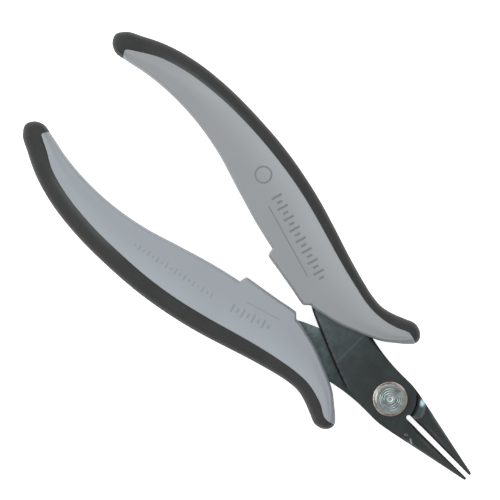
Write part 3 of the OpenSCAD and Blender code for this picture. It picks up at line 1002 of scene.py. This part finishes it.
def grey_plastic(name, prints, ink, base, edge_share):
    """Hard moulded plastic with a fine spark-eroded grain and a plain pad print on one face.
    The last argument is the share of the base colour that is left in the painted shade along the
    grip's palm edge and towards both ends."""
    g = Graph(name)
    cloud = g.noise(60, 3, 0.5)
    grain = g.noise(5200, 2, 0.5)
    speck = g.noise(1700, 2, 0.5)
    dark = tuple(c * 0.93 for c in base)
    shade = g.mix(g.span(cloud, 0.3, 0.7), dark, base)
    shade = g.mix(g.span(speck, 0.70, 0.78, 0, 0.25), shade, tuple(c * 0.7 for c in base))
    x, _, z = g.split(g.local((0, 0, 0)))
    # Painted shade: darker along the palm edge, on the wall and towards both ends.
    ends = g.math("MAXIMUM", g.span(x, -78, -108), g.span(x, -28, -5))
    palm = g.span(g.attribute("palm"), 0.1, 0.8)
    painted_shade = g.math("MAXIMUM", palm, g.math("MULTIPLY", ends, 0.8))
    painted_shade = g.math("MULTIPLY", painted_shade, g.span(cloud, 0.2, 0.8, 0.75, 1))
    shade = g.mix(painted_shade, shade, tuple(c * k for c, k in zip(base, edge_share)))
    mask = 0.0
    for draw, *place in prints:
        mask = g.math("MAXIMUM", mask, draw(g, *place))
    mask = g.math("MULTIPLY", mask, g.math("GREATER_THAN", z, GRIP_HALF - PRINT_DEPTH))
    mask = g.math("MULTIPLY", mask, g.span(g.noise(2400, 2), 0.25, 0.5, 0.7, 1.0))
    shade = g.mix(mask, shade, ink)
    g.set(Base_Color=shade, Roughness=g.span(grain, 0.3, 0.7, 0.48, 0.62))
    g.shader.inputs["Specular IOR Level"].default_value = 0.35
    g.bump(grain, 0.00003, 0.35)
    return g.material


def black_rubber(name):
    """Soft moulded strap: fine matt grain, faintly dusty, with a lighter blue-green painted
    reflection near the seam along the middle of the grip.
    """
    g = Graph(name)
    cloud = g.noise(110, 4, 0.6)
    grain = g.noise(4200, 3, 0.6)
    dust = g.noise(2300, 2, 0.5)
    shade = g.mix(g.span(cloud, 0.3, 0.7), (0.0245, 0.0255, 0.025), (0.0335, 0.035, 0.034))
    shade = g.mix(g.span(dust, 0.66, 0.76, 0, 0.35), shade, (0.11, 0.115, 0.11))
    x, _, _ = g.split(g.local((0, 0, 0)))
    # Painted reflection: lighter and faintly blue-green near the seam along the middle of the
    # strap.
    sheen_span = g.math("MULTIPLY", g.span(x, -108, -98), g.span(x, -72, -84))
    seam = g.math("MULTIPLY", sheen_span, g.span(g.attribute("palm"), 0.8, 0.3, 0, 0.75))
    shade = g.mix(seam, shade, (0.072, 0.083, 0.082))
    g.set(Base_Color=shade, Roughness=g.span(cloud, 0.3, 0.7, 0.55, 0.72))
    g.shader.inputs["Specular IOR Level"].default_value = 0.2
    g.bump(grain, 0.00005, 0.5)
    return g.material


# The plain print on each grip: rings, tick scales and lines, with their places and sizes in
# the order in which each one's function takes them.
FRONT_PRINTS = [
    (printed_ring, (-64.4, 17.9), 2.1, 0.45),
    (tick_band, (-46.4, 13.0), -16, 25.6, 3.0, 1.5, 1.6, 0.62),
    (printed_line, (-47.6, 10.2), -16, 21.0, 0.30),
]
REAR_PRINTS = [
    (tick_band, (-63.4, -16.1), 11.5, 24.0, 1.6, 0.8, 1.4, 0.35),
    (tick_band, (-40.6, -10.6), 17, 12.0, 2.4, 1.2, 1.5, 0.5),
    (printed_line, (-39.6, -7.2), 17, 10.0, 0.25),
]
INK = (0.15, 0.16, 0.17)
FAINT_INK = (0.21, 0.225, 0.24)
FRONT_GREY = (0.306, 0.327, 0.345)
FRONT_EDGE_SHADE = (0.74, 0.725, 0.715)
REAR_GREY = (0.302, 0.332, 0.361)
REAR_EDGE_SHADE = (0.84, 0.835, 0.83)

# Nicks as (strength, place) and patches of painted light as (how broken, colour, place). A place
# is an origin, a turn in degrees and a half size.
FRONT_NICKS = [
    (0.6, ((9.5, -3.7, 2.2), 20, (0.55, 0.4, 1.5))),
    (1.0, ((11.6, -3.95, 1.8), -25, (0.85, 0.32, 1.5))),
]
FRONT_PAINTED_LIGHT = [
    # Painted reflection of the grip on the shank.
    (0.7, (0.085, 0.108, 0.112), ((-25.5, 3.4, 3), 30, (6, 2.2, 3))),
    # Painted light: a lighter strip along the jaw beside the gap, against the shade there.
    (0.1, (0.105, 0.111, 0.109), ((13.5, -1.1, 1.5), 0, (7, 0.9, 3))),
]
REAR_PAINTED_LIGHT = [
    # Painted highlight on the slope beside the front half's round end.
    (0.0, (0.34, 0.50, 0.55), ((6.7, 5.2, 2.2), -50, (1.2, 0.8, 1.6))),
    # Painted reflection of the grip on the shank.
    (0.6, (0.20, 0.26, 0.275), ((-28.5, -0.9, 0), -8, (5, 2.2, 2))),
    # Painted light: a lighter strip along the jaw beside the gap, against the shade there.
    (0.1, (0.105, 0.111, 0.109), ((13.5, 1.1, 1.5), 0, (7, 0.9, 3))),
]

LOOKS = {
    "front_half_forged": black_oxide("black_oxide_front", -9, 0.42, FRONT_PAINTED_LIGHT, FRONT_NICKS),
    "rear_half_forged": black_oxide("black_oxide_rear", -1, 1.0, REAR_PAINTED_LIGHT, []),
    "rivet_turned": zinc("zinc"),
    "front_grip_panel": grey_plastic(
        "grey_plastic_front", FRONT_PRINTS, INK, FRONT_GREY, FRONT_EDGE_SHADE
    ),
    "rear_grip_panel": grey_plastic(
        "grey_plastic_rear", REAR_PRINTS, FAINT_INK, REAR_GREY, REAR_EDGE_SHADE
    ),
}
washer_look = bronze("bronze")
rubber_look = black_rubber("black_rubber")
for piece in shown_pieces():
    look = LOOKS.get(piece.name) or (washer_look if "washer" in piece.name else rubber_look)
    piece.data.materials.clear()
    piece.data.materials.append(look)

# ---- Studio: pale floor, a light tent with a dimmer top, and two soft lights ----

FLOOR_HALF = 3
FLOOR_GLOW = 0.82

floor = new_object("floor", bpy.data.meshes.new("floor"))
corners = [(x * FLOOR_HALF, y * FLOOR_HALF, 0) for x, y in ((-1, -1), (1, -1), (1, 1), (-1, 1))]
floor.data.from_pydata(corners, [], [(0, 1, 2, 3)])
paper = Graph("paper")
paper.set(
    Base_Color=paper.mix(paper.noise(40, 2), (0.78, 0.78, 0.78), (0.80, 0.80, 0.80)),
    Roughness=0.95,
)
paper.shader.inputs["Emission Color"].default_value = (1, 1, 1, 1)
paper.shader.inputs["Emission Strength"].default_value = FLOOR_GLOW
paper.shader.inputs["Specular IOR Level"].default_value = 0.1
floor.data.materials.append(paper.material)

# Brightness of the tent by height, as the sine of the elevation.
TENT = [(0.0, 0.42), (0.30, 0.60), (0.75, 0.92), (0.90, 0.90), (0.97, 0.52), (1.0, 0.46)]
world = bpy.data.worlds.new("studio")
world.use_nodes = True
tree = world.node_tree
up = tree.nodes.new("ShaderNodeSeparateXYZ")
tree.links.new(tree.nodes.new("ShaderNodeTexCoord").outputs["Generated"], up.inputs[0])
tent = tree.nodes.new("ShaderNodeValToRGB")
stops = tent.color_ramp.elements
while len(stops) < len(TENT):
    stops.new(0.5)
for stop, (height, level) in zip(stops, TENT):
    stop.position = height
    stop.color = (level, level, level, 1)
tree.links.new(up.outputs["Z"], tent.inputs["Fac"])
tree.links.new(tent.outputs["Color"], tree.nodes["Background"].inputs["Color"])
tree.nodes["Background"].inputs["Strength"].default_value = 1.0
bpy.context.scene.world = world


LIGHT_DISTANCE = 0.9
LIGHT_SIZE = 0.35


def softbox(name, azimuth, elevation, power):
    """Round soft light that faces the tool from an azimuth and an elevation in degrees."""
    light = bpy.data.lights.new(name, "AREA")
    light.shape = "DISK"
    light.size = LIGHT_SIZE
    light.energy = power
    obj = bpy.data.objects.new(name, light)
    a, e = math.radians(azimuth), math.radians(elevation)
    away = Vector((math.cos(a) * math.cos(e), math.sin(a) * math.cos(e), math.sin(e)))
    obj.location = away * LIGHT_DISTANCE
    obj.rotation_mode = "QUATERNION"
    obj.rotation_quaternion = away.to_track_quat("Z", "Y")
    bpy.context.scene.collection.objects.link(obj)


softbox("left", 217, 46, 3.4)
softbox("far", 150, 42, 2.2)

bpy.context.scene.view_settings.view_transform = "Standard"
